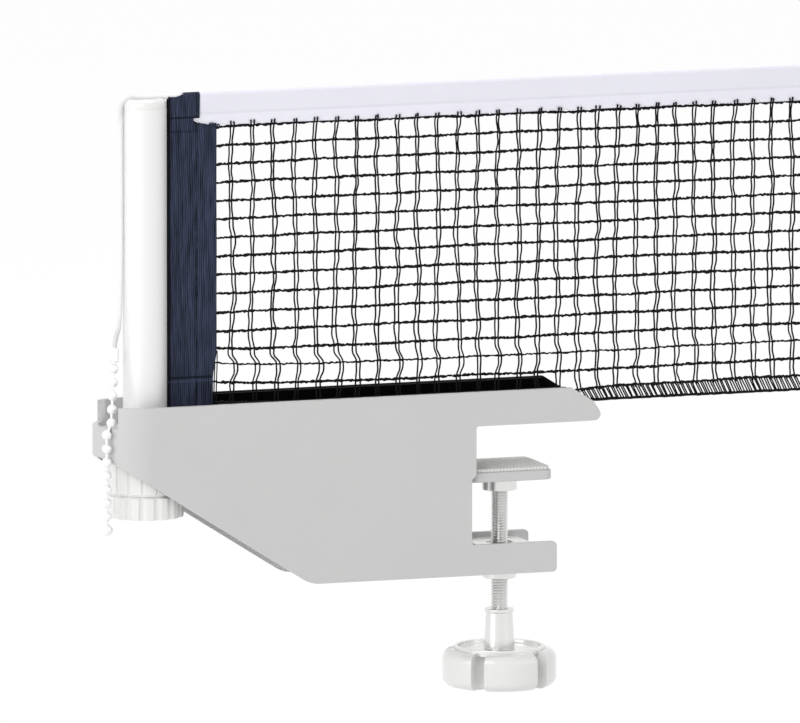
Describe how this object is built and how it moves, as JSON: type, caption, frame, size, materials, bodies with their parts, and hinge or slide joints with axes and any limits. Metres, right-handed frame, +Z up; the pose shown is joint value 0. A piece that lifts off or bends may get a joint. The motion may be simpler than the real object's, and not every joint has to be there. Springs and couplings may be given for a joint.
{
  "type": "table tennis net clamp",
  "caption": "Clamp-on bracket with a screw jaw for a table's edge, holding a height-adjustable post and a stretch of table tennis net drawn tight by a cord and ball chain.",
  "frame": {"origin": "where the clamp screw's axis meets the seat that rests on the table top", "axes": "+X along the net towards the table's middle, +Y along the table's edge away from the viewer of the picture, +Z up"},
  "size_m": [0.3776, 0.052, 0.28],
  "materials": {
    "grey_painted_steel": "satin light grey paint",
    "black_plastic": "moulded, matte black",
    "rubber": "pale, fine ribbed rubber",
    "zinc_steel": "bright plating",
    "grey_plastic": "pale glossy moulding",
    "post_aluminium": "bright anodised",
    "navy_webbing": "ribbed navy webbing",
    "black_netting": "knotted dark thread",
    "white_tape": "plain woven white tape",
    "white_cord": "braided white cord"
  },
  "bodies": {
    "bracket": {"clamp_bracket": "grey_painted_steel", "jaw_insert": "black_plastic", "table_pad": "rubber", "lower_bridge": "zinc_steel", "screw_nut": "zinc_steel", "post_holder": "grey_plastic", "holder_screws": "zinc_steel", "guide_key": "black_plastic", "thrust_washer": "zinc_steel"},
    "post": {"post_tube": "post_aluminium", "post_nut": "grey_plastic", "post_pins": "zinc_steel", "post_cap": "grey_plastic", "net_rod": "zinc_steel", "net_side_band": "navy_webbing", "net_mesh": "black_netting", "net_hem": "black_netting", "net_top_tape": "white_tape", "net_far_band": "navy_webbing", "far_rod": "zinc_steel", "tension_cord": "white_cord", "cord_stop": "grey_plastic", "chain_connector": "zinc_steel", "chain_balls": "zinc_steel", "chain_links": "zinc_steel", "chain_end": "zinc_steel"},
    "height_adjuster": {"height_knob": "grey_plastic", "height_screw": "zinc_steel", "height_clip": "zinc_steel"},
    "pressure": {"pressure_plate": "grey_painted_steel", "pressure_pad": "rubber", "swivel_cup": "zinc_steel"},
    "screw": {"clamp_screw": "zinc_steel", "screw_clip": "zinc_steel", "knob_hub": "zinc_steel", "knob_dish": "zinc_steel", "star_knob": "grey_plastic"}
  },
  "joints": [
    {"name": "pressure_slide", "type": "slide", "parent": "bracket", "child": "pressure", "axis": [0, 0, 1], "range_m": [-0.023, 0.0135]},
    {"name": "screw_turn", "type": "hinge", "parent": "pressure", "child": "screw", "pos_m": [0, 0, 0], "axis": [0, 0, 1], "range_deg": [-6624, 3888]},
    {"name": "post_slide", "type": "slide", "parent": "bracket", "child": "post", "axis": [0, 0, 1], "range_m": [0, 0.008]},
    {"name": "height_turn", "type": "hinge", "parent": "bracket", "child": "height_adjuster", "pos_m": [-0.17025, 0, 0], "axis": [0, 0, 1], "range_deg": [-2880, 0]}
  ],
  "couplings": [
    {"joint": "screw_turn", "follows": "pressure_slide", "rad_per_m": 5026.5},
    {"joint": "height_turn", "follows": "post_slide", "rad_per_m": -6283.1}
  ]
}
